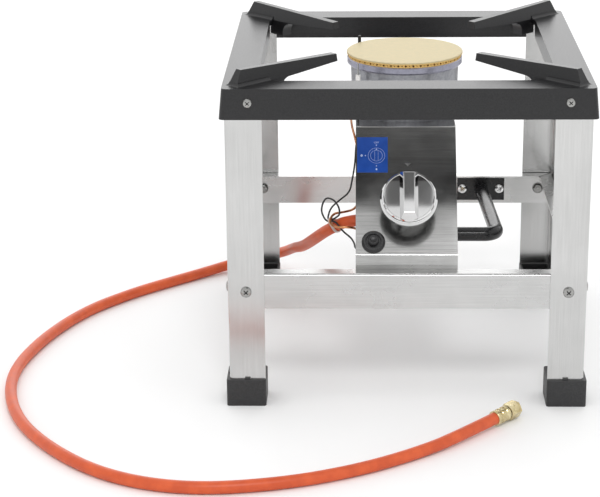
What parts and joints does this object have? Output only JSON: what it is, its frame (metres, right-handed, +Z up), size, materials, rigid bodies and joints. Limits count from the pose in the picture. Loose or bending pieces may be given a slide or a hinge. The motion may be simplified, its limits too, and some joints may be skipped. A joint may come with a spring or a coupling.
{
  "type": "gas burner stool",
  "caption": "Square stool with a cast iron pot support on angle steel legs, a round gas burner, a sloping control panel with knob and igniter, and a rubber gas hose.",
  "frame": {"origin": "on the floor under the middle of the stool", "axes": "+X to the user's right, +Y away from the user, +Z up"},
  "size_m": [0.6593, 0.6901, 0.38],
  "materials": {
    "cast": "satin as-cast, blackened",
    "sheet_steel": "brushed",
    "foot_plastic": "matt black",
    "bright_screw": "bright",
    "label_blue": "gloss",
    "bright_chrome": "polished",
    "tap_brass": "machined",
    "cap_brass": "fine turned",
    "light_alloy": "as-cast",
    "pipe_alloy": "drawn",
    "black_plastic": "satin",
    "ceramic": "glazed",
    "black_paint": "satin",
    "hose_rubber": "smooth",
    "zinc": "yellow zinc",
    "copper": "drawn copper",
    "lead_black": "smooth",
    "clear_plastic": "translucent"
  },
  "bodies": {
    "stool": {"arm_bolts": "bright_chrome", "arm_nuts": "bright_screw", "arm_plate": "black_paint", "burner_cup": "cast", "burner_saddle": "black_paint", "cable_tie": "clear_plastic", "control_panel": "sheet_steel", "dial_label": "label_blue", "electrode_ceramic": "ceramic", "electrode_rod": "bright_screw", "flame_spreader": "light_alloy", "foot_front_left": "foot_plastic", "foot_front_right": "foot_plastic", "foot_rear_left": "foot_plastic", "foot_rear_right": "foot_plastic", "gas_hose": "hose_rubber", "gas_pipe": "pipe_alloy", "hose_end_ferrule": "zinc", "hose_inlet_ferrule": "zinc", "hose_inlet_nut": "tap_brass", "igniter_housing": "black_plastic", "igniter_nut": "black_plastic", "injector": "tap_brass", "leg_front_left": "sheet_steel", "leg_front_right": "sheet_steel", "leg_rear_left": "sheet_steel", "leg_rear_right": "sheet_steel", "magnet_unit": "bright_screw", "pipe_nuts": "tap_brass", "pot_support": "cast", "rail_front": "sheet_steel", "rail_left": "sheet_steel", "rail_nuts": "bright_screw", "rail_rear": "sheet_steel", "rail_right": "sheet_steel", "rail_screws": "bright_screw", "saddle_screws": "bright_screw", "spark_lead": "lead_black", "support_arm": "black_paint", "support_nuts": "bright_screw", "support_screws": "bright_screw", "tap_body": "tap_brass", "tap_bonnet": "tap_brass", "thermocouple_lead": "copper", "thermocouple_nut": "tap_brass", "thermocouple_probe": "bright_screw"},
    "knob": {"control_knob": "bright_chrome", "tap_spindle": "tap_brass"},
    "push_stem": {"tap_pin": "bright_screw"},
    "gas_plug": {"tap_plug": "tap_brass"},
    "igniter_key": {"igniter_button": "black_plastic"},
    "flame_cap": {"burner_cap": "cap_brass"},
    "union_nut": {"hose_end_nut": "zinc"}
  },
  "joints": [
    {"name": "knob_push", "type": "slide", "parent": "stool", "child": "push_stem", "axis": [0, 0.766, -0.6428], "range_m": [0, 0.004], "stiffness_N_per_m": 2500, "springref_m": -0.002},
    {"name": "knob_turn", "type": "hinge", "parent": "push_stem", "child": "knob", "pos_m": [0.002, -0.14251, 0.21086], "axis": [0, -0.766, 0.6428], "range_deg": [0, 180]},
    {"name": "plug_turn", "type": "hinge", "parent": "stool", "child": "gas_plug", "pos_m": [0.002, -0.12106, 0.19287], "axis": [0, -0.766, 0.6428], "range_deg": [0, 180]},
    {"name": "igniter_press", "type": "slide", "parent": "stool", "child": "igniter_key", "axis": [0, 0.766, -0.6428], "range_m": [0, 0.005], "stiffness_N_per_m": 1500, "springref_m": -0.002},
    {"name": "cap_lift", "type": "slide", "parent": "stool", "child": "flame_cap", "axis": [0, 0, 1], "range_m": [0, 0.06]},
    {"name": "union_spin", "type": "hinge", "parent": "stool", "child": "union_nut", "pos_m": [0.11418, -0.23213, 0.00995], "axis": [0.6616, 0.7498, 0], "continuous": true}
  ],
  "couplings": [
    {"joint": "plug_turn", "follows": "knob_turn", "ratio": 1}
  ]
}
